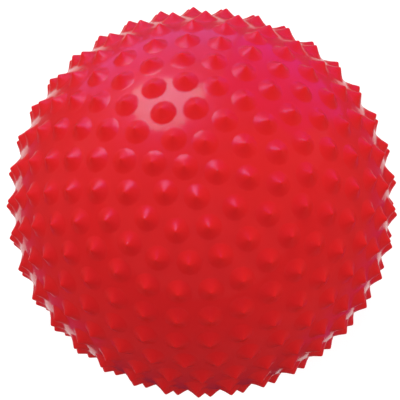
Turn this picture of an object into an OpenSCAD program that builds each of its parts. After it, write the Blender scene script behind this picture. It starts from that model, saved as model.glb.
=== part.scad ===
// Soft inflatable sensory ball: a hollow vinyl skin covered in blunt thorn-shaped knobs,
// with a valve seat bonded behind its smooth spot and a stopper plug that pulls out of the seat.
// The knobs stand in rings, as many to a ring as fit whole, and every ring starts on one meridian.
// The ball stands on the ring of knobs round the smooth spot, with the origin on the surface
// below the spot and +Z up through the centre of the ball.

/* [Ball] */
// Diameter of the skin between the knobs
skin_d = 268; // [160:1:400]
// Thickness of the vinyl wall at its thinnest
wall = 1.2; // [1:0.1:3]

/* [Knobs] */
// Distance along the skin from one ring of knobs to the next
knob_pitch = 22.2; // [20:0.1:40]
// Width of a knob across its foot
knob_d = 19; // [12:0.5:20]
// Height of a knob above the skin
knob_h = 6; // [5:0.5:12]
// Width of a knob's blunt tip
tip_d = 2.4; // [1:0.1:4]

/* [Smooth spot] */
// Width of the flat spot that carries the valve
spot_d = 24; // [20:0.5:30]

/* [Valve seat] */
// Diameter of the bore at its mouth
bore_d = 8.5; // [6:0.1:10]
// Wall of the seat's tube at its mouth
seat_wall = 2; // [1.5:0.1:3]
// Length of the seat from the face of the spot inwards
seat_len = 15; // [10:0.5:24]
// Thickness of the flange that is bonded behind the skin
flange_t = 1.6; // [1:0.1:3]
// How far the flange reaches out past the tube
flange_reach = 4; // [2:0.5:6]

/* [Valve plug] */
// Diameter of the plug's head
head_d = 14; // [12:0.5:18]
// Thickness of the head at its middle
head_t = 1.8; // [1:0.1:3]
// Length of the stem under the head
stem_len = 13; // [8:0.5:20]
// How much thinner the stem is at its inner end than at the head
stem_taper = 1; // [0.4:0.1:2]
// Wall of the stem round the hollow in its inner end
stem_wall = 1.5; // [1:0.1:2]
// Depth of that hollow
hollow_depth = 9; // [4:0.5:12]

/* [Hidden] */

// Gap between the stem and the bore, between the tube and its hole, and under the plug's head
fit_gap = 0.1;
// Overrun of a cut past the face that it opens
over = 1;
// Thickness of the head at its edge
edge_t = 0.8;
// Bevel at the mouth of the bore and at the root of the stem
bevel = 0.6;

// Flat sides of a knob's foot, of its tip and of the smooth spot
foot_sides = 8;
tip_sides = 4;
spot_sides = 24;
// Flat sides of the hollow inside and of the round holes
inside_sides = 32;
hole_sides = 64;

skin_r = skin_d / 2;
ring_steps = round(PI * skin_r / knob_pitch);
ring_angle = 180 / ring_steps;
// Height of a foot's plane above the ball's centre
foot_z = sqrt(pow(skin_r, 2) - pow(knob_d / 2, 2));
spot_z = sqrt(pow(skin_r, 2) - pow(spot_d / 2, 2));
// Height of the ball's centre above the surface, set by the corners of the lowest tips
stand_z = (skin_r + knob_h) * cos(ring_angle) + tip_d / 2 * sin(ring_angle);
spot_face_z = stand_z - spot_z;
bore_r = bore_d / 2;
bore_end_r = bore_r - stem_taper / 2;
tube_r = bore_r + seat_wall;
tube_end_r = bore_end_r + seat_wall;
flange_r = tube_r + flange_reach;
stem_r = bore_r - fit_gap;
stem_end_r = stem_r - stem_taper / 2;
hollow_r = stem_end_r - stem_wall;
// Radius of the head's dome, which rises from the edge to the full thickness at the middle
dome_h = head_t - edge_t;
dome_r = (pow(head_d / 2, 2) + pow(dome_h, 2)) / (2 * dome_h);

// Number of knobs in a ring that lies so many degrees from the pole
function ring_count(angle) = max(1, floor(2 * ring_steps * sin(angle)));

// Puts its children at each knob's place, with +Z along the knob and the ball's centre at the origin
module at_knobs() {
    for (ring = [0 : ring_steps - 1]) {
        angle = ring * ring_angle;
        count = ring_count(angle);
        for (i = [0 : count - 1]) rotate([0, angle, 360 * i / count]) children();
    }
}

// Round foot of a knob, sunk into the wall below its plane
module foot() {
    translate([0, 0, foot_z - wall]) cylinder(d1 = knob_d - wall, d2 = knob_d, h = wall, $fn = foot_sides);
}

// One knob, tapering straight from its foot to its blunt tip
module knob() {
    hull() {
        foot();
        translate([0, 0, skin_r]) cylinder(d = tip_d, h = knob_h, $fn = tip_sides);
    }
}

// Closed ball whose surface runs through every knob's foot and through the smooth spot
module ball_form() {
    hull() {
        at_knobs() foot();
        mirror([0, 0, 1]) cylinder(d = spot_d, h = spot_z, $fn = spot_sides);
    }
}

// Hollow of the ball, with a flat recess behind the smooth spot where the flange sits
module ball_hollow() {
    intersection() {
        sphere(r = skin_r - wall, $fn = inside_sides);
        translate([0, 0, wall - spot_z]) cylinder(r = skin_r, h = skin_d, $fn = inside_sides);
    }
    translate([0, 0, wall - spot_z]) cylinder(r = flange_r + fit_gap, h = flange_t + over, $fn = hole_sides);
}

// Vinyl skin with its knobs, moulded in one
module ball_skin() {
    color("crimson")
    translate([0, 0, stand_z])
    difference() {
        union() {
            ball_form();
            at_knobs() knob();
        }
        ball_hollow();
        translate([0, 0, -spot_z - over]) cylinder(r = tube_r + fit_gap, h = wall + 2 * over, $fn = hole_sides);
    }
}

// Tube and flange that hold the plug, with a mouth that is level with the spot
module valve_seat() {
    color("firebrick")
    translate([0, 0, spot_face_z])
    rotate_extrude($fn = hole_sides)
    polygon([
        [bore_r + bevel, 0],
        [tube_r, 0],
        [tube_r, wall],
        [flange_r, wall],
        [flange_r, wall + flange_t],
        [tube_r, wall + flange_t],
        [tube_end_r, seat_len],
        [bore_end_r, seat_len],
        [bore_r, bevel]
    ]);
}

// Half of the head's section, a low dome on a thin edge
module head_half() {
    intersection() {
        translate([0, dome_r - head_t]) circle(r = dome_r, $fn = hole_sides);
        translate([0, -head_t]) square([head_d / 2, head_t]);
    }
}

// Half of the stem's section, tapered, with a hollow in its inner end
module stem_half() {
    polygon([
        [0, 0],
        [stem_r + bevel, 0],
        [stem_r, bevel],
        [stem_end_r, stem_len],
        [hollow_r, stem_len],
        [hollow_r, stem_len - hollow_depth],
        [0, stem_len - hollow_depth]
    ]);
}

// Stopper that closes the valve
module valve_plug() {
    color("white")
    translate([0, 0, spot_face_z - fit_gap])
    rotate_extrude($fn = hole_sides) {
        head_half();
        stem_half();
    }
}

ball_skin();
valve_seat();
valve_plug();
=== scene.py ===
"""Studio scene of a soft inflatable ball with rings of blunt knobs.

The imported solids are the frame. The scene replaces each of them by a finer surface of the same size:
the vinyl skin with its knobs, the tube of the valve behind the skin and the stopper in that tube.
Lengths are in metres in the row frame, which has +Z up from the valve to the opposite pole.
"""

import itertools
import logging
import math
from dataclasses import dataclass
from enum import Enum
from typing import Any, Union

import bpy
import numpy as np
from mathutils import Matrix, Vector
from mathutils.geometry import delaunay_2d_cdt


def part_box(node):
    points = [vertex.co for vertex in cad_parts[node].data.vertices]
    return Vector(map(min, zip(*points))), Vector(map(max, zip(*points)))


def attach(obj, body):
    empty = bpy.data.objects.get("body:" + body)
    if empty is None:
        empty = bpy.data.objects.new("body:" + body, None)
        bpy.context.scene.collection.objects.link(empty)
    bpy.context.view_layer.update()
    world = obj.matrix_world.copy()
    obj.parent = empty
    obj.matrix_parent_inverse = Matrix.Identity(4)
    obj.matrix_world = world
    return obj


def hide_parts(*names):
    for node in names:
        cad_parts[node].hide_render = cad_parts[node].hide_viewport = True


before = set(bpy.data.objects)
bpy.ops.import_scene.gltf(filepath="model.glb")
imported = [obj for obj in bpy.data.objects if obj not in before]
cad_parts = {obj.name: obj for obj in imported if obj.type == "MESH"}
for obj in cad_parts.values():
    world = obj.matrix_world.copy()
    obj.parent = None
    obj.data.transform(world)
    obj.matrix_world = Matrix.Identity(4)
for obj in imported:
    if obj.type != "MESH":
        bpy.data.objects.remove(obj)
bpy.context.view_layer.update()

# Value that a noise texture varies about
NOISE_MIDDLE = 0.5
# Inputs and output of a Mix node that blends colours
MIX_FACTOR = 0
MIX_FIRST = 6
MIX_SECOND = 7
MIX_RESULT = 2
# Triangulation that fills the hull of its points, and the distance within which two points are one
FILL_HULL = 0
SAME_POINT = 1e-9

log = logging.getLogger("ball_scene")

Pair = tuple[float, float]
Colour = tuple[float, float, float]
Direction = tuple[float, float, float]
Value = Union["Socket", float]


class Body(Enum):
    """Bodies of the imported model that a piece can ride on."""

    BALL = "ball"
    PLUG = "plug"


class Slot(Enum):
    """Material slots of the record."""

    RED_VINYL = "red_vinyl"
    WHITE_PLUG = "white_plug"


class Socket:
    """Output socket of a shader tree, whose arithmetic adds Math nodes."""

    def __init__(self, tree: "ShaderTree", output: bpy.types.NodeSocket | None) -> None:
        """Keeps the socket, or None for a node without outputs, and the tree it belongs to."""
        self.tree = tree
        self.output = output

    def math(self, operation: str, first: Value, second: Value) -> "Socket":
        """Adds one Math node.

        Args:
            operation: name of the Math node's operation.
            first: first operand, a socket or a number.
            second: second operand, a socket or a number.

        Returns:
            The node's result.
        """
        return self.tree.node("ShaderNodeMath", {"operation": operation}, {0: first, 1: second})

    def __add__(self, other: Value) -> "Socket":
        """Sum of this socket and another value."""
        return self.math("ADD", self, other)

    def __radd__(self, other: Value) -> "Socket":
        """Sum of another value and this socket."""
        return self.math("ADD", other, self)

    def __sub__(self, other: Value) -> "Socket":
        """This socket less another value."""
        return self.math("SUBTRACT", self, other)

    def __rsub__(self, other: Value) -> "Socket":
        """Another value less this socket."""
        return self.math("SUBTRACT", other, self)

    def __mul__(self, other: Value) -> "Socket":
        """Product of this socket and another value."""
        return self.math("MULTIPLY", self, other)

    def __rmul__(self, other: Value) -> "Socket":
        """Product of another value and this socket."""
        return self.math("MULTIPLY", other, self)

    def smaller(self, other: Value) -> "Socket":
        """The smaller of this socket and another value."""
        return self.math("MINIMUM", self, other)

    def larger(self, other: Value) -> "Socket":
        """The larger of this socket and another value."""
        return self.math("MAXIMUM", self, other)


def opaque(colour: Colour | Socket) -> tuple[float, ...] | Socket:
    """A plain colour with full alpha, or a socket as it is."""
    return colour if isinstance(colour, Socket) else (*colour, 1.0)


class ShaderTree:
    """Node tree that starts empty and is written as expressions."""

    def __init__(self, owner: bpy.types.Material | bpy.types.World) -> None:
        """Turns on the owner's nodes and empties its tree.

        Args:
            owner: material or world that the tree belongs to.
        """
        owner.use_nodes = True
        self.tree = owner.node_tree
        self.tree.nodes.clear()

    def node(
        self,
        kind: str,
        settings: dict[str, Any] | None = None,
        sockets: dict[str | int, Any] | None = None,
        output: str | int = 0,
    ) -> Socket:
        """Adds a node, sets it up and links its inputs.

        Args:
            kind: type of the node.
            settings: attributes of the node, set before its sockets.
            sockets: a value or a Socket for each input, by name or number.
            output: name or number of the output that is returned.

        Returns:
            The chosen output.
        """
        made = self.tree.nodes.new(kind)
        for name, value in (settings or {}).items():
            setattr(made, name, value)
        for name, value in (sockets or {}).items():
            if isinstance(value, Socket):
                self.tree.links.new(value.output, made.inputs[name])
            else:
                made.inputs[name].default_value = value
        return Socket(self, made.outputs[output] if len(made.outputs) else None)

    def place(self) -> Socket:
        """Coordinates of a point in its object's own space."""
        return self.node("ShaderNodeTexCoord", None, None, "Object")

    def noise(self, place: Socket, scale: float, detail: float) -> Socket:
        """Noise in the range 0 to 1.

        Args:
            place: coordinates that the noise follows.
            scale: cells to a metre.
            detail: octaves added to the first.

        Returns:
            The noise value.
        """
        return self.node("ShaderNodeTexNoise", None, {"Vector": place, "Scale": scale, "Detail": detail})

    def mix_colour(self, factor: Value, first: Colour | Socket, second: Colour | Socket) -> Socket:
        """Blends two colours.

        Args:
            factor: 0 for the first colour and 1 for the second.
            first: colour or socket at factor 0.
            second: colour or socket at factor 1.

        Returns:
            The blended colour.
        """
        sockets = {MIX_FACTOR: factor, MIX_FIRST: opaque(first), MIX_SECOND: opaque(second)}
        return self.node("ShaderNodeMix", {"data_type": "RGBA"}, sockets, MIX_RESULT)

    def mix_shader(self, factor: Value, first: Socket, second: Socket) -> Socket:
        """Blends two shaders, from the first at factor 0 to the second at factor 1."""
        return self.node("ShaderNodeMixShader", None, {0: factor, 1: first, 2: second})

    def bumped(self, height: Socket) -> Socket:
        """Normal that is stirred by a height in metres."""
        return self.node("ShaderNodeBump", None, {"Strength": 1.0, "Distance": 1.0, "Height": height})

    def background_rays(self) -> Socket:
        """Tells rays that see a background from the light on the object.

        Returns:
            1 for camera rays, reflections and rays through glass, and 0 for any other.
        """
        camera = self.node("ShaderNodeLightPath", None, None, "Is Camera Ray")
        glossy = self.node("ShaderNodeLightPath", None, None, "Is Glossy Ray")
        through = self.node("ShaderNodeLightPath", None, None, "Is Transmission Ray")
        return camera.larger(glossy).larger(through)

    def surface(self, shader: Socket) -> None:
        """Makes a shader the surface of the material."""
        self.node("ShaderNodeOutputMaterial", None, {"Surface": shader})


@dataclass(frozen=True)
class VinylFinish:
    """Soft red vinyl, cast in a mould, with a half gloss that the touch of hands has dulled in places."""

    # Colours that the clouds shift between, the colour of rubbed tips, and the share of it at a tip
    deep: Colour = (0.63, 0.013, 0.0105)
    bright: Colour = (0.71, 0.016, 0.0125)
    worn: Colour = (0.74, 0.016, 0.011)
    tip_wear: float = 0.5
    # Broad sheen: its roughness, how far the smudges change that, its level and its tint
    haze: float = 0.42
    smudge: float = 0.08
    specular: float = 0.10
    specular_tint: Colour = (0.3, 0.02, 1.0)
    # Gloss over the sheen: its weight, and what the smudges and the grain take off it
    coat: float = 1.15
    coat_wear: float = 0.25
    coat_grain: float = 0.7
    coat_roughness: float = 0.11
    coat_ior: float = 1.17
    # Share of the gloss that is lost on a flank, and how quickly it goes with the rise
    flank_wear: float = 0.76
    flank_start: float = 13.0
    # Patterns: cells to a metre and added octaves, and the heights of those that stir the normal
    clouds_per_m: float = 22.0
    cloud_detail: float = 3.0
    smudges_per_m: float = 55.0
    smudge_detail: float = 4.0
    ripples_per_m: float = 90.0
    ripple_detail: float = 2.0
    ripple_rise: float = 0.00020
    grain_per_m: float = 800.0
    grain_detail: float = 2.0
    grain_rise: float = 0.00004

    def material(self, name: str) -> bpy.types.Material:
        """Makes the vinyl as a procedural material.

        Clouds shift the red a little, and the tips of the knobs are worn paler by the rise attribute. Hands
        have dulled the knobs' flanks, smudges and a fine grain break the gloss, and slow ripples stir the
        normal.

        Args:
            name: name of the material.

        Returns:
            The material.
        """
        made = bpy.data.materials.new(name)
        tree = ShaderTree(made)
        place = tree.place()
        rise = tree.node("ShaderNodeAttribute", {"attribute_name": "rise"}, None, "Fac")
        clouds = tree.noise(place, self.clouds_per_m, self.cloud_detail)
        smudges = tree.noise(place, self.smudges_per_m, self.smudge_detail)
        ripples = tree.noise(place, self.ripples_per_m, self.ripple_detail)
        grain = tree.noise(place, self.grain_per_m, self.grain_detail)
        red = tree.mix_colour(clouds, self.deep, self.bright)
        red = tree.mix_colour(rise * rise * self.tip_wear, red, self.worn)
        handled = (rise * self.flank_start).smaller(1.0) * self.flank_wear
        coat = (self.coat - smudges * self.coat_wear - grain * self.coat_grain) * (1.0 - handled)
        shader = tree.node(
            "ShaderNodeBsdfPrincipled",
            None,
            {
                "Base Color": red,
                "Roughness": self.haze + (smudges - NOISE_MIDDLE) * self.smudge,
                "Normal": tree.bumped(ripples * self.ripple_rise + grain * self.grain_rise),
                "Specular IOR Level": self.specular,
                "Specular Tint": opaque(self.specular_tint),
                "Coat Weight": coat,
                "Coat Roughness": self.coat_roughness,
                "Coat IOR": self.coat_ior,
            },
        )
        tree.surface(shader)
        return made


@dataclass(frozen=True)
class StopperFinish:
    """White moulded plastic with a faint handling grime."""

    clean: Colour = (0.84, 0.83, 0.80)
    handled: Colour = (0.74, 0.71, 0.66)
    roughness: float = 0.42
    roughness_spread: float = 0.12
    clouds_per_m: float = 260.0
    cloud_detail: float = 4.0
    grain_per_m: float = 3000.0
    grain_detail: float = 2.0
    grain_rise: float = 0.00002

    def material(self, name: str) -> bpy.types.Material:
        """Makes the plastic as a procedural material.

        Args:
            name: name of the material.

        Returns:
            The material.
        """
        made = bpy.data.materials.new(name)
        tree = ShaderTree(made)
        place = tree.place()
        clouds = tree.noise(place, self.clouds_per_m, self.cloud_detail)
        grain = tree.noise(place, self.grain_per_m, self.grain_detail)
        shader = tree.node(
            "ShaderNodeBsdfPrincipled",
            None,
            {
                "Base Color": tree.mix_colour(clouds * clouds, self.clean, self.handled),
                "Roughness": self.roughness + (clouds - NOISE_MIDDLE) * self.roughness_spread,
                "Normal": tree.bumped(grain * self.grain_rise),
            },
        )
        tree.surface(shader)
        return made


@dataclass(frozen=True)
class Glow:
    """Even light of a sheet in the studio."""

    radiance: float
    colour: Colour

    def material(self, name: str) -> bpy.types.Material:
        """Makes the light as a material.

        Args:
            name: name of the material.

        Returns:
            The material.
        """
        made = bpy.data.materials.new(name)
        tree = ShaderTree(made)
        light = {"Color": opaque(self.colour), "Strength": self.radiance}
        tree.surface(tree.node("ShaderNodeEmission", None, light))
        return made


@dataclass(frozen=True)
class Matte:
    """Dull paint of a card in the studio."""

    colour: Colour

    def material(self, name: str) -> bpy.types.Material:
        """Makes the paint as a material.

        Args:
            name: name of the material.

        Returns:
            The material.
        """
        made = bpy.data.materials.new(name)
        tree = ShaderTree(made)
        tree.surface(tree.node("ShaderNodeBsdfDiffuse", None, {"Color": opaque(self.colour)}))
        return made


@dataclass(frozen=True)
class FloorFinish:
    """Pale floor that a share of glow brings to white as a background, with the ball's shadow left on it."""

    colour: Colour = (0.80, 0.80, 0.80)
    glow: float = 0.82
    share: float = 0.55

    def material(self, name: str) -> bpy.types.Material:
        """Makes the floor as a material whose glow adds no light to the ball.

        Args:
            name: name of the material.

        Returns:
            The material.
        """
        made = bpy.data.materials.new(name)
        tree = ShaderTree(made)
        glowing = tree.background_rays() * self.share
        dull = tree.node("ShaderNodeBsdfDiffuse", None, {"Color": opaque(self.colour)})
        glow = tree.node("ShaderNodeEmission", None, {"Strength": self.glow / self.share})
        tree.surface(tree.mix_shader(glowing, dull, glow))
        return made


@dataclass
class Surface:
    """Points, outward normals, faces and a value for each point, ready to become a mesh."""

    points: np.ndarray
    normals: np.ndarray
    triangles: np.ndarray
    quads: np.ndarray
    rise: np.ndarray

    def joined(self, other: "Surface") -> "Surface":
        """Puts another surface's points and faces after this one's.

        Args:
            other: surface that comes after.

        Returns:
            Both as one surface, with no faces between them yet.
        """
        shift = len(self.points)
        return Surface(
            np.concatenate([self.points, other.points]),
            np.concatenate([self.normals, other.normals]),
            np.concatenate([self.triangles, other.triangles + shift]),
            np.concatenate([self.quads, other.quads + shift]),
            np.concatenate([self.rise, other.rise]),
        )

    def closed(self, ends: np.ndarray, facing: np.ndarray, triangles: np.ndarray) -> "Surface":
        """Adds the points that close open rings, and the triangles that reach them.

        Args:
            ends: points to add, numbered after this surface's own.
            facing: outward normals of those points.
            triangles: triangles to add.

        Returns:
            The surface with the points, which have no rise, and the triangles.
        """
        return Surface(
            np.concatenate([self.points, ends]),
            np.concatenate([self.normals, facing]),
            np.concatenate([self.triangles, triangles]),
            self.quads,
            np.concatenate([self.rise, np.zeros(len(ends))]),
        )

    def mesh_object(self, name: str) -> bpy.types.Object:
        """Makes the mesh, smooth under its own normals, and links it to the scene.

        Args:
            name: name of the piece.

        Returns:
            The object, at the origin.
        """
        corners = np.concatenate([self.triangles.ravel(), self.quads.ravel()]).astype(np.int32)
        sizes = np.repeat([3, 4], [len(self.triangles), len(self.quads)])
        starts = (np.cumsum(sizes) - sizes).astype(np.int32)
        mesh = bpy.data.meshes.new(name)
        mesh.vertices.add(len(self.points))
        mesh.vertices.foreach_set("co", self.points.astype(np.float32).ravel())
        mesh.loops.add(len(corners))
        mesh.loops.foreach_set("vertex_index", corners)
        mesh.polygons.add(len(sizes))
        mesh.polygons.foreach_set("loop_start", starts)
        mesh.update(calc_edges=True)
        mesh.polygons.foreach_set("use_smooth", np.ones(len(sizes), bool))
        mesh.normals_split_custom_set_from_vertices(self.normals.tolist())
        rise = mesh.attributes.new("rise", "FLOAT", "POINT")
        rise.data.foreach_set("value", self.rise.astype(np.float32))
        mesh.validate()
        made = bpy.data.objects.new(name, mesh)
        bpy.context.scene.collection.objects.link(made)
        return made


def unit(vectors: np.ndarray) -> np.ndarray:
    """Vectors scaled to a length of 1, along the last axis."""
    return vectors / np.linalg.norm(vectors, axis=-1, keepdims=True)


def full_turn(count: int) -> np.ndarray:
    """Angles at so many even steps of a full turn, from 0."""
    return np.arange(count) * (2 * np.pi / count)


def spokes(count: int) -> np.ndarray:
    """Directions away from the Z axis at so many even steps of a full turn, from +X."""
    angle = full_turn(count)
    return np.stack([np.cos(angle), np.sin(angle), np.zeros(count)], axis=-1)


def loop_sides(loops: np.ndarray) -> np.ndarray:
    """Pairs of neighbours in closed loops of point numbers, which run along the last axis."""
    return np.stack([loops, np.roll(loops, -1, axis=-1)], axis=-1).reshape(-1, 2)


def ring_quads(first: np.ndarray, second: np.ndarray) -> np.ndarray:
    """Quads between two rings of point numbers that run the same way round.

    Seen from the front of the quads, the rings run counter-clockwise and the second lies inside the first.

    Args:
        first: point numbers of the outer ring, along the last axis.
        second: point numbers of the inner ring, along the last axis.

    Returns:
        An array of quads, four numbers each.
    """
    sides = [first, np.roll(first, -1, axis=-1), np.roll(second, -1, axis=-1), second]
    return np.stack(sides, axis=-1).reshape(-1, 4)


def fan(ring: np.ndarray, middle: int | np.ndarray, inwards: bool) -> np.ndarray:
    """Triangles that close each ring of points onto one point.

    Args:
        ring: point numbers of the rings, counter-clockwise along the last axis.
        middle: number of the point in the middle, or a column of them for several rings.
        inwards: whether the triangles face the other way.

    Returns:
        An array of triangles.
    """
    after = np.roll(ring, -1, axis=-1)
    hub = np.broadcast_to(middle, ring.shape)
    order = [after, ring, hub] if inwards else [ring, after, hub]
    return np.stack(order, axis=-1).reshape(-1, 3)


def rounded_profile(corners: np.ndarray, radius: float, steps: int) -> tuple[np.ndarray, np.ndarray]:
    """Profile through corners that are rounded to arcs.

    At each inner corner the arc of the given radius touches both sides. A point on it is the arc's centre
    plus the radius along a direction that turns evenly from one side's normal to the other's.

    Args:
        corners: corners as (distance from the axis, height), with the solid on the right of the way along.
        radius: radius of the arcs.
        steps: segments of each arc.

    Returns:
        The points of the profile and their outward normals.
    """
    way = unit(np.diff(corners, axis=0))
    normal = np.stack([-way[:, 1], way[:, 0]], axis=-1)
    before = way[:-1]
    after = way[1:]
    cross = before[:, 0] * after[:, 1] - before[:, 1] * after[:, 0]
    turn = np.arctan2(cross, (before * after).sum(axis=-1))
    side = np.sign(turn)[:, None]
    reach = radius * np.tan(np.abs(turn) / 2)
    centre = corners[1:-1] - before * reach[:, None] + normal[:-1] * side * radius
    start = np.arctan2(normal[:-1, 1], normal[:-1, 0])
    angle = start[:, None] + turn[:, None] * np.linspace(0, 1, steps + 1)
    out = np.stack([np.cos(angle), np.sin(angle)], axis=-1)
    arcs = centre[:, None] - out * (side * radius)[:, None]
    points = np.concatenate([corners[:1], arcs.reshape(-1, 2), corners[-1:]])
    normals = np.concatenate([normal[:1], out.reshape(-1, 2), normal[-1:]])
    return points, normals


def lathe(points: np.ndarray, normals: np.ndarray, around: int, centre_z: float) -> Surface:
    """Carries a profile round the Z axis.

    A point is (r cos a, r sin a, z), for each (r, z) of the profile and each angle a of a full turn. The
    rings are joined by quads in the order that keeps their fronts on the side of the normals.

    Args:
        points: profile as (distance from the axis, height).
        normals: outward normals of the profile.
        around: points to a ring.
        centre_z: height that is added to the profile's.

    Returns:
        The surface, open at the first and last ring.
    """
    spoke = spokes(around)
    axis = np.array([0.0, 0.0, 1.0])
    place = points[:, None, :1] * spoke + (points[:, None, 1:] + centre_z) * axis
    facing = normals[:, None, :1] * spoke + normals[:, None, 1:] * axis
    number = np.arange(len(points) * around).reshape(len(points), around)
    none = np.zeros((0, 3), int)
    quads = ring_quads(number[1:], number[:-1])
    return Surface(place.reshape(-1, 3), facing.reshape(-1, 3), none, quads, np.zeros(number.size))


@dataclass(frozen=True)
class Knob:
    """Blunt thorn that is moulded onto the skin, with slightly hollow flanks and a fillet round its foot."""

    height: float = 0.006
    point_h: float = 0.0064
    foot_r: float = 0.0096
    hollow: float = 1.3
    flank_shares: tuple[float, ...] = (0.92, 0.5, 0.1)
    fillet_steps: int = 2
    around: int = 12

    def profile(self, skin_r: float) -> tuple[np.ndarray, np.ndarray]:
        """Half section of the knob from the skin to the tip.

        With x as a share of the foot's radius, the flank is z = f + (R + h - f) (1 - x)^p, with R the skin's
        radius, h the height of the flank's point, f the height of the foot's circle and p the hollow. The
        tip is flattened above the last share. The fillet is the circle that touches the skin from outside
        and the flank at its lowest point P. With the normal n there, |P + q n| = R + q gives its radius
        q = (P.P - R^2) / (2 (R - P.n)).

        Args:
            skin_r: radius of the skin that the knob stands on.

        Returns:
            Points as (distance from the knob's axis, height over the ball's centre), and their normals.
        """
        foot_z = math.sqrt(skin_r**2 - self.foot_r**2)
        rise = skin_r + self.point_h - foot_z
        shares = np.array(self.flank_shares)
        flank = np.stack([self.foot_r * shares, foot_z + rise * (1.0 - shares) ** self.hollow], axis=-1)
        leans = np.arctan(self.hollow * rise / self.foot_r * (1.0 - shares) ** (self.hollow - 1.0))
        normals = np.stack([np.sin(leans), np.cos(leans)], axis=-1)
        fillet_r = (flank[0] @ flank[0] - skin_r**2) / (2.0 * (skin_r - flank[0] @ normals[0]))
        middle = flank[0] + fillet_r * normals[0]
        foot_lean = math.atan2(middle[0], middle[1])
        foot_leans = np.linspace(foot_lean, leans[0], self.fillet_steps, endpoint=False)
        foot_normals = np.stack([np.sin(foot_leans), np.cos(foot_leans)], axis=-1)
        foot = middle - fillet_r * foot_normals
        tip = np.array([[0.0, skin_r + self.height]])
        return np.concatenate([foot, flank, tip]), np.concatenate([foot_normals, normals, [[0.0, 1.0]]])


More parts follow.
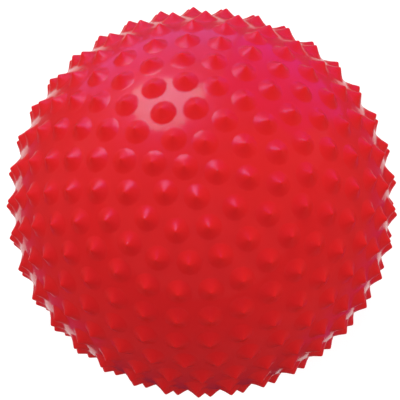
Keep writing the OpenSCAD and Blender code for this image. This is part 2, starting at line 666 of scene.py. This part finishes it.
@dataclass(frozen=True)
class BallSkin:
    """Hollow vinyl skin with its rings of knobs, and the hole for the valve in its smooth spot."""

    top_z: float
    skin_r: float = 0.134
    wall: float = 0.0012
    knob: Knob = Knob()
    ring_steps: int = 19
    spot_r: float = 0.0112
    hole_r: float = 0.00635
    recess_r: float = 0.01035
    edge_r: float = 0.0003
    edge_steps: int = 2
    around: int = 48
    inside_rows: int = 24

    @property
    def tip_r(self) -> float:
        """Radius of the ball over the knobs' tips."""
        return self.skin_r + self.knob.height

    @property
    def centre_z(self) -> float:
        """Height of the ball's centre, below the top tip."""
        return self.top_z - self.skin_r - self.knob.height

    @property
    def spot_z(self) -> float:
        """Height of the smooth spot from the ball's centre."""
        return -math.sqrt(self.skin_r**2 - self.spot_r**2)

    def knob_places(self) -> tuple[np.ndarray, np.ndarray, np.ndarray]:
        """Axes of all the knobs.

        The half circle from pole to pole has equal steps. The ring at the tilt t from the pole has as many
        knobs as fit whole at that spacing, floor(2 n sin t) for n steps, and starts on the +X meridian. The
        valve has the place of the last pole.

        Returns:
            For each knob, its axis and the two directions across it, along the meridian and along the ring.
        """
        tilts = np.arange(self.ring_steps) * (np.pi / self.ring_steps)
        counts = np.maximum(1, np.floor(2 * self.ring_steps * np.sin(tilts))).astype(int)
        tilt = np.repeat(tilts, counts)
        order = np.arange(counts.sum()) - np.repeat(np.cumsum(counts) - counts, counts)
        turn = 2 * np.pi * order / np.repeat(counts, counts)
        axis = np.stack([np.sin(tilt) * np.cos(turn), np.sin(tilt) * np.sin(turn), np.cos(tilt)], axis=-1)
        along = np.stack([np.cos(tilt) * np.cos(turn), np.cos(tilt) * np.sin(turn), -np.sin(tilt)], axis=-1)
        across = np.stack([-np.sin(turn), np.cos(turn), np.zeros_like(turn)], axis=-1)
        return axis, along, across

    def knobs(self) -> tuple[Surface, np.ndarray]:
        """All the knobs, each the same profile carried round its own axis.

        A point is r (cos a along + sin a across) + z axis, for each (r, z) of the profile and each angle a.

        Returns:
            The surface about the ball's centre, and the point numbers of each knob's foot.
        """
        axis, along, across = self.knob_places()
        section, section_normals = self.knob.profile(self.skin_r)
        around = self.knob.around
        rings = len(section) - 1
        angle = full_turn(around)[:, None]
        spoke = np.cos(angle) * along[:, None] + np.sin(angle) * across[:, None]
        stem = axis[:, None, None]

        def carried(pairs: np.ndarray) -> np.ndarray:
            """The pairs carried round every knob's axis, as (knob, ring, point, coordinate)."""
            return pairs[None, :, None, :1] * spoke[:, None] + pairs[None, :, None, 1:] * stem

        body = carried(section[:-1]).reshape(len(axis), -1, 3)
        facing = carried(section_normals[:-1]).reshape(len(axis), -1, 3)
        points = np.concatenate([body, axis[:, None] * section[-1, 1]], axis=1)
        normals = np.concatenate([facing, axis[:, None]], axis=1)
        each = rings * around + 1
        number = np.arange(len(axis) * each).reshape(len(axis), each)
        ring = number[:, :-1].reshape(len(axis), rings, around)
        quads = ring_quads(ring[:, :-1], ring[:, 1:])
        caps = fan(ring[:, -1], number[:, -1:], False)
        share = np.clip((np.linalg.norm(section, axis=-1) - self.skin_r) / self.knob.height, 0.0, 1.0)
        rise = np.tile(np.append(np.repeat(share[:-1], around), share[-1]), len(axis))
        surface = Surface(points.reshape(-1, 3), unit(normals.reshape(-1, 3)), caps, quads, rise)
        return surface, ring[:, 0]

    def web(self, points: np.ndarray, feet: np.ndarray, spot: np.ndarray) -> np.ndarray:
        """Triangles of the skin between the knobs' feet and the edge of the smooth spot.

        The points are laid flat from the valve's pole by (x, y) / (1 + z), which keeps circles round and
        joins them as a Delaunay triangulation would on the ball. Triangles inside one foot are left out.

        Args:
            points: all points about the ball's centre.
            feet: point numbers of each foot.
            spot: point numbers of the edge of the spot.

        Returns:
            An array of triangles, facing outwards.
        """
        used = np.concatenate([feet.ravel(), spot])
        owner = np.concatenate([np.repeat(np.arange(len(feet)), feet.shape[1]), np.full(len(spot), -1)])
        ray = unit(points[used])
        flat = ray[:, :2] / (1.0 + ray[:, 2:])
        local = np.arange(len(used))
        foot_loops = local[: feet.size].reshape(feet.shape)
        sides = np.concatenate([loop_sides(foot_loops), loop_sides(local[feet.size :])])
        made = delaunay_2d_cdt(flat.tolist(), sides.tolist(), [], FILL_HULL, SAME_POINT)
        _, _, faces, origins, _, _ = made
        origin = np.fromiter(itertools.chain.from_iterable(origins), int)
        corners = origin[np.array(faces)]
        owners = owner[corners]
        between = (owners != owners[:, :1]).any(axis=-1)
        return used[corners[between]]

    def inside(self) -> Surface:
        """Smooth spot, hole and inner wall, from the edge of the spot to the inner pole.

        The profile runs across the flat spot, up the hole with rounded edges, out along the recess for the
        valve's flange, and on along the inner sphere, whose point at the tilt t is R (sin t, cos t). The
        side of the recess is at least two edge radii high.

        Returns:
            The surface about the ball's centre, closed at the inner pole.
        """
        inner_r = self.skin_r - self.wall
        seat_z = self.spot_z + self.wall
        recess_z = max(-math.sqrt(inner_r**2 - self.recess_r**2), seat_z + self.edge_r * 2)
        corners = np.array(
            [
                [self.spot_r, self.spot_z],
                [self.hole_r, self.spot_z],
                [self.hole_r, seat_z],
                [self.recess_r, seat_z],
                [self.recess_r, recess_z],
            ]
        )
        points, normals = rounded_profile(corners, self.edge_r, self.edge_steps)
        first = math.pi - math.asin(self.recess_r / inner_r)
        tilt = np.linspace(first, 0.0, self.inside_rows + 1)[1:-1]
        sphere = np.stack([np.sin(tilt), np.cos(tilt)], axis=-1)
        points = np.concatenate([points, inner_r * sphere])
        normals = np.concatenate([normals, -sphere])
        shell = lathe(points, normals, self.around, 0.0)
        count = len(shell.points)
        pole = np.array([[0.0, 0.0, inner_r]])
        return shell.closed(pole, -unit(pole), fan(np.arange(count - self.around, count), count, True))

    def build(self, finish: VinylFinish) -> bpy.types.Object:
        """Makes the skin as one closed mesh and dresses it.

        Args:
            finish: vinyl that the skin is cast in.

        Returns:
            The piece that stands for the skin.
        """
        knobs, feet = self.knobs()
        spot = np.arange(self.around) + len(knobs.points)
        whole = knobs.joined(self.inside())
        whole.triangles = np.concatenate([whole.triangles, self.web(whole.points, feet, spot)])
        whole.points = whole.points + np.array([0.0, 0.0, self.centre_z])
        piece = whole.mesh_object("knobbly_skin")
        piece.data.materials.append(finish.material("red_vinyl_skin"))
        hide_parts("ball_skin")
        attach(piece, Body.BALL.value)
        return piece


@dataclass(frozen=True)
class Valve:
    """Tube that is bonded behind the smooth spot, and the stopper that closes it."""

    mouth_z: float
    bore_r: float = 0.00425
    bore_end_r: float = 0.00375
    tube_wall: float = 0.002
    tube_len: float = 0.015
    flange_z: float = 0.0012
    flange_t: float = 0.0016
    flange_reach: float = 0.004
    stem_gap: float = 0.0001
    stem_len: float = 0.013
    stem_wall: float = 0.0015
    hollow_depth: float = 0.009
    head_r: float = 0.007
    head_t: float = 0.0018
    head_edge_t: float = 0.0008
    edge_r: float = 0.0003
    edge_steps: int = 2
    around: int = 48
    dome_rows: int = 5

    def tube(self, finish: VinylFinish) -> bpy.types.Object:
        """Makes the tube with its flange, a closed profile carried round the axis.

        The profile starts and ends halfway along the bore.

        Args:
            finish: vinyl that the tube is moulded in.

        Returns:
            The piece that stands for the valve's seat.
        """
        bore_mid_r = (self.bore_r + self.bore_end_r) / 2
        tube_r = self.bore_r + self.tube_wall
        end_r = self.bore_end_r + self.tube_wall
        flange_r = tube_r + self.flange_reach
        flange_top = self.flange_z + self.flange_t
        corners = np.array(
            [
                [bore_mid_r, self.tube_len / 2],
                [self.bore_end_r, self.tube_len],
                [end_r, self.tube_len],
                [tube_r, flange_top],
                [flange_r, flange_top],
                [flange_r, self.flange_z],
                [tube_r, self.flange_z],
                [tube_r, 0.0],
                [self.bore_r, 0.0],
                [bore_mid_r, self.tube_len / 2],
            ]
        )
        points, normals = rounded_profile(corners, self.edge_r, self.edge_steps)
        shape = lathe(points[:-1], normals[:-1], self.around, self.mouth_z)
        number = np.arange(len(shape.points)).reshape(-1, self.around)
        shape.quads = np.concatenate([shape.quads, ring_quads(number[0], number[-1])])
        piece = shape.mesh_object("valve_tube")
        piece.data.materials.append(finish.material("red_vinyl_tube"))
        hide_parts("valve_seat")
        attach(piece, Body.BALL.value)
        return piece

    def stopper(self, finish: StopperFinish) -> bpy.types.Object:
        """Makes the stopper: a low domed head, a tapered stem and a hollow in the stem's inner end.

        The dome's height at the distance r from the axis is the edge's plus (1 - (r / R)^2) of the rest.

        Args:
            finish: plastic of the stopper.

        Returns:
            The piece that stands for the plug.
        """
        stem_r = self.bore_r - self.stem_gap
        stem_end_r = self.bore_end_r - self.stem_gap
        hollow_r = stem_end_r - self.stem_wall
        floor_z = self.stem_len - self.hollow_depth
        dome_h = self.head_t - self.head_edge_t
        share = np.linspace(0.0, 1.0, self.dome_rows + 1)[1:]
        dome_r = (self.head_r - self.edge_r) * share[::-1]
        dome_z = -self.head_edge_t - dome_h * (1 - (dome_r / self.head_r) ** 2)
        slope = 2 * dome_h * dome_r / self.head_r**2
        corners = np.array(
            [
                [hollow_r / 2, floor_z],
                [hollow_r, floor_z],
                [hollow_r, self.stem_len],
                [stem_end_r, self.stem_len],
                [stem_r, 0.0],
                [self.head_r, 0.0],
                [self.head_r, -self.head_edge_t],
                [dome_r[0], dome_z[0]],
            ]
        )
        points, normals = rounded_profile(corners, self.edge_r, self.edge_steps)
        dome = np.stack([dome_r, dome_z], axis=-1)
        dome_normals = unit(np.stack([slope, -np.ones_like(slope)], axis=-1))
        points = np.concatenate([points[:-1], dome])
        normals = np.concatenate([normals[:-1], dome_normals])
        seat_z = self.mouth_z - self.stem_gap
        shape = lathe(points, normals, self.around, seat_z)
        count = len(shape.points)
        ends = np.array([[0.0, 0.0, seat_z + floor_z], [0.0, 0.0, seat_z - self.head_t]])
        facing = np.array([[0.0, 0.0, 1.0], [0.0, 0.0, -1.0]])
        hollow_floor = fan(np.arange(self.around), count, False)
        dome_middle = fan(np.arange(count - self.around, count), count + 1, True)
        shape = shape.closed(ends, facing, np.concatenate([hollow_floor, dome_middle]))
        piece = shape.mesh_object("stopper")
        piece.data.materials.append(finish.material("white_stopper"))
        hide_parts("valve_plug")
        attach(piece, Body.PLUG.value)
        return piece


def placed(axes: np.ndarray, place: np.ndarray) -> Matrix:
    """Matrix that turns an object's own axes to the given ones and moves it to a place.

    Args:
        axes: directions of the object's axes in the row frame, as columns.
        place: where the object's origin goes.

    Returns:
        The matrix.
    """
    matrix = np.eye(4)
    matrix[:3, :3] = axes
    matrix[:3, 3] = place
    return Matrix(matrix.tolist())


@dataclass(frozen=True)
class PhotoView:
    """Where the photograph was taken from, as fitted to the knobs' places.

    The camera's right, up and back directions are the view's x, y and z. The pole is the knob that the
    rings go round, and the meridian is the one on which the rings start.
    """

    image_px: float = 400.0
    centre_px: Pair = (201.9, 202.4)
    ball_px: float = 195.6
    distance_in_balls: float = 25.0
    pole_right: float = -0.086
    pole_up: float = 0.180
    meridian_deg: float = 171.34
    sensor_mm: float = 36.0

    def axes(self) -> np.ndarray:
        """Directions of the view in the row frame.

        Returns:
            A matrix whose columns are the camera's right, up and back directions.
        """
        pole_back = math.sqrt(1 - self.pole_right**2 - self.pole_up**2)
        pole = np.array([self.pole_right, self.pole_up, pole_back])
        side = unit(np.array([1.0, 0.0, 0.0]) - pole * self.pole_right)
        turn = math.radians(self.meridian_deg)
        start = math.cos(turn) * side + math.sin(turn) * np.cross(pole, side)
        return np.stack([start, np.cross(pole, start), pole])

    def camera(self, centre_z: float, tip_r: float) -> bpy.types.Object:
        """Makes the scene's camera.

        Args:
            centre_z: height of the ball's centre.
            tip_r: radius of the ball over the knobs' tips.

        Returns:
            The camera.
        """
        data = bpy.data.cameras.new("photo_camera")
        data.sensor_width = self.sensor_mm
        half = self.image_px / 2 / (self.ball_px * self.distance_in_balls)
        data.lens = self.sensor_mm / 2 / half
        data.shift_x = (self.image_px / 2 - self.centre_px[0]) / self.image_px
        data.shift_y = (self.centre_px[1] - self.image_px / 2) / self.image_px
        axes = self.axes()
        made = bpy.data.objects.new("photo_camera", data)
        place = np.array([0.0, 0.0, centre_z]) + axes[:, 2] * self.distance_in_balls * tip_r
        made.matrix_world = placed(axes, place)
        bpy.context.scene.collection.objects.link(made)
        bpy.context.scene.camera = made
        return made


@dataclass(frozen=True)
class Lamp:
    """Round flat lamp that faces the ball and lights it without showing in its gloss."""

    name: str
    towards: Direction
    size: float
    radiance: float
    distance: float = 1.6

    def build(self, axes: np.ndarray, target: np.ndarray) -> bpy.types.Object:
        """Makes the lamp.

        Its power is the radiance times pi times its area, as for a disc that glows evenly.

        Args:
            axes: the view's directions in the row frame, as columns.
            target: point that the lamp faces.

        Returns:
            The lamp.
        """
        data = bpy.data.lights.new(self.name, "AREA")
        data.shape = "DISK"
        data.size = self.size
        data.energy = self.radiance * math.pi * (math.pi / 4 * self.size**2)
        back = axes @ unit(np.array(self.towards))
        side = unit(np.cross(axes[:, 1], back))
        made = bpy.data.objects.new(self.name, data)
        turned = np.stack([side, np.cross(back, side), back], axis=-1)
        made.matrix_world = placed(turned, target + back * self.distance)
        made.visible_camera = False
        made.visible_glossy = False
        bpy.context.scene.collection.objects.link(made)
        return made


def stage_sheet(
    name: str,
    points: np.ndarray,
    faces: list[list[int]],
    materials: list[bpy.types.Material],
) -> bpy.types.Object:
    """Makes a sheet of the studio.

    Args:
        name: name of the sheet.
        points: corners in the row frame.
        faces: point numbers of each face.
        materials: materials of the sheet, the first of which its faces take.

    Returns:
        The sheet.
    """
    mesh = bpy.data.meshes.new(name)
    mesh.from_pydata(points.tolist(), [], faces)
    for material in materials:
        mesh.materials.append(material)
    made = bpy.data.objects.new(name, mesh)
    bpy.context.scene.collection.objects.link(made)
    return made


def show_in_gloss_only(sheet: bpy.types.Object) -> None:
    """Hides a sheet from the camera, from dull surfaces and from shadows.

    Args:
        sheet: sheet that only reflections are to show.
    """
    sheet.visible_camera = False
    sheet.visible_diffuse = False
    sheet.visible_shadow = False


@dataclass(frozen=True)
class Panel:
    """Glowing softbox or reflector that only the ball's gloss sees."""

    name: str
    corners: tuple[Direction, ...]
    distance: float
    glow: Glow

    def build(self, axes: np.ndarray, target: np.ndarray) -> bpy.types.Object:
        """Makes the sheet as one face with its corners at the given distance from the ball's centre.

        Args:
            axes: the view's directions in the row frame, as columns.
            target: the ball's centre.

        Returns:
            The sheet.
        """
        points = target + self.distance * unit(np.array(self.corners)) @ axes.T
        face = list(range(len(points)))
        made = stage_sheet(self.name, points, [face], [self.glow.material(self.name)])
        show_in_gloss_only(made)
        return made


@dataclass(frozen=True)
class Flag:
    """Dark card with a glowing rim, bent round the ball, which only the ball's gloss sees.

    The angles of its foot and top are in degrees towards the camera. They change over the dip and the
    opening, and the rim keeps to its span, all of which are heights in the view from -1 to 1.
    """

    reach: float = 0.42
    columns: int = 72
    rows: int = 16
    dip: Pair = (-0.99, -0.91)
    foot_deg: Pair = (-80.0, -56.0)
    opening: Pair = (0.15, 0.45)
    top_deg: Pair = (38.0, 5.0)
    floor_gap: float = 0.004
    paint: Matte = Matte((0.09, 0.02, 0.08))
    # Rows at the foot that glow within a span of heights, and their glow, which the ball's edge reflects
    rim_rows: int = 4
    rim_span: Pair = (-0.86, 0.40)
    rim: Glow = Glow(0.30, (0.95, 0.04, 0.90))

    def build(self, axes: np.ndarray, target: np.ndarray) -> bpy.types.Object:
        """Makes the card.

        A point of it is target + R (cos e cos a, cos e sin a, sin e) in the view's directions, for each
        angle a round the view and each angle e towards the camera, and is kept just over the floor. The
        card dips at the bottom of the view, and is cut low at the top, where the softbox shines over it.
        The rim is the rows at its foot, which glow, and their reflection tints the edge of the ball at both
        sides.

        Args:
            axes: the view's directions in the row frame, as columns.
            target: point that the card goes round.

        Returns:
            The card.
        """
        turn = np.linspace(0.0, 2 * np.pi, self.columns + 1)[:, None]
        foot = np.interp(np.sin(turn), self.dip, self.foot_deg)
        top = np.interp(np.sin(turn), self.opening, self.top_deg)
        lift = np.radians(foot + (top - foot) * np.linspace(0.0, 1.0, self.rows + 1))
        ways = np.stack([np.cos(lift) * np.cos(turn), np.cos(lift) * np.sin(turn), np.sin(lift)], axis=-1)
        points = (target + self.reach * ways @ axes.T).reshape(-1, 3)
        points[:, 2] = np.maximum(points[:, 2], self.floor_gap)
        number = np.arange(len(points)).reshape(lift.shape)
        sides = [number[:-1, :-1], number[1:, :-1], number[1:, 1:], number[:-1, 1:]]
        quads = np.stack(sides, axis=-1).reshape(-1, 4)
        materials = [self.paint.material("flag"), self.rim.material("flag_rim")]
        made = stage_sheet("flag", points, quads.tolist(), materials)
        row = np.arange(self.rows)
        height = np.sin(turn[:-1])
        rim = (row < self.rim_rows) & (height > self.rim_span[0]) & (height < self.rim_span[1])
        made.data.polygons.foreach_set("material_index", rim.ravel().astype(np.int32))
        show_in_gloss_only(made)
        return made


@dataclass(frozen=True)
class Studio:
    """Plain white studio: a pale floor, a white surround, soft lamps and the sheets that the gloss shows."""

    floor_r: float = 6.0
    floor_around: int = 96
    floor_finish: FloorFinish = FloorFinish()
    flag: Flag = Flag()
    surround: float = 0.53
    surround_colour: Colour = (1.0, 1.0, 1.0)

    def lamps(self) -> list[Lamp]:
        """Sets out the lamps by the camera's right, up and back.

        Returns:
            A key that shades the knobs from above, and fills from the front and the sides.
        """
        return [
            Lamp("key", towards=(0.0, 0.82, 0.57), size=0.5, radiance=11.8),
            Lamp("front_fill", towards=(0.0, -0.10, 1.0), size=1.1, radiance=1.9),
            Lamp("left_fill", towards=(-0.96, 0.22, 0.15), size=1.1, radiance=2.35),
            Lamp("right_fill", towards=(0.97, 0.12, 0.15), size=1.1, radiance=2.4),
        ]

    def panels(self) -> list[Panel]:
        """Sets out the sheets that the gloss shows, with corners by the camera's right, up and back.

        Returns:
            A softbox above the ball, and reflectors over its left and right shoulders.
        """
        softbox = (
            (-0.41, 0.64, 0.65),
            (-0.17, 0.71, 0.68),
            (0.03, 0.87, 0.49),
            (-0.02, 0.96, 0.28),
            (-0.41, 0.91, 0.10),
            (-0.64, 0.75, 0.19),
        )
        pale = (
            (-0.70, 0.70, 0.08),
            (0.15, 0.96, 0.22),
            (0.20, 0.92, -0.36),
            (-0.30, 0.90, -0.36),
            (-0.72, 0.65, -0.26),
        )
        cool = (
            (0.12, 0.85, 0.52),
            (0.70, 0.50, 0.52),
            (0.82, 0.50, -0.24),
            (0.22, 0.92, -0.36),
        )
        return [
            Panel("softbox", softbox, distance=1.0, glow=Glow(43.0, (0.20, 0.63, 0.53))),
            Panel("pale_reflector", pale, distance=0.36, glow=Glow(4.4, (0.25, 0.21, 0.78))),
            Panel("cool_reflector", cool, distance=0.36, glow=Glow(3.0, (0.40, 0.04, 0.82))),
        ]

    def floor(self) -> bpy.types.Object:
        """Makes the floor, a wide disc at the height that the ball stands on.

        Returns:
            The floor.
        """
        ring = spokes(self.floor_around) * self.floor_r
        face = list(range(self.floor_around))
        return stage_sheet("floor", ring, [face], [self.floor_finish.material("floor")])

    def world(self) -> None:
        """Sets the surround, white as a background and dimmer as light."""
        world = bpy.data.worlds.new("white_surround")
        tree = ShaderTree(world)
        strength = self.surround + tree.background_rays() * (1.0 - self.surround)
        light = {"Color": opaque(self.surround_colour), "Strength": strength}
        background = tree.node("ShaderNodeBackground", None, light)
        tree.node("ShaderNodeOutputWorld", None, {"Surface": background})
        bpy.context.scene.world = world

    def build(self, axes: np.ndarray, target: np.ndarray) -> None:
        """Makes the floor, the card, the surround, the lamps and the panels.

        Args:
            axes: the view's directions in the row frame, as columns.
            target: the ball's centre, which the lamps face.
        """
        self.floor()
        self.flag.build(axes, target)
        self.world()
        for lamp in self.lamps():
            lamp.build(axes, target)
        for panel in self.panels():
            panel.build(axes, target)
        bpy.context.scene.view_settings.view_transform = "Standard"


def main() -> None:
    """Builds the pieces, the camera and the studio."""
    logging.basicConfig(level=logging.INFO, format="%(message)s")
    vinyl = VinylFinish()
    skin = BallSkin(top_z=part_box("ball_skin")[1][2])
    valve = Valve(mouth_z=skin.centre_z + skin.spot_z)
    pieces = [skin.build(vinyl), valve.tube(vinyl), valve.stopper(StopperFinish())]
    for piece in pieces:
        log.info("piece %s: %d faces", piece.name, len(piece.data.polygons))
    view = PhotoView()
    view.camera(skin.centre_z, skin.tip_r)
    Studio().build(view.axes(), np.array([0.0, 0.0, skin.centre_z]))


if __name__ == "__main__":
    main()
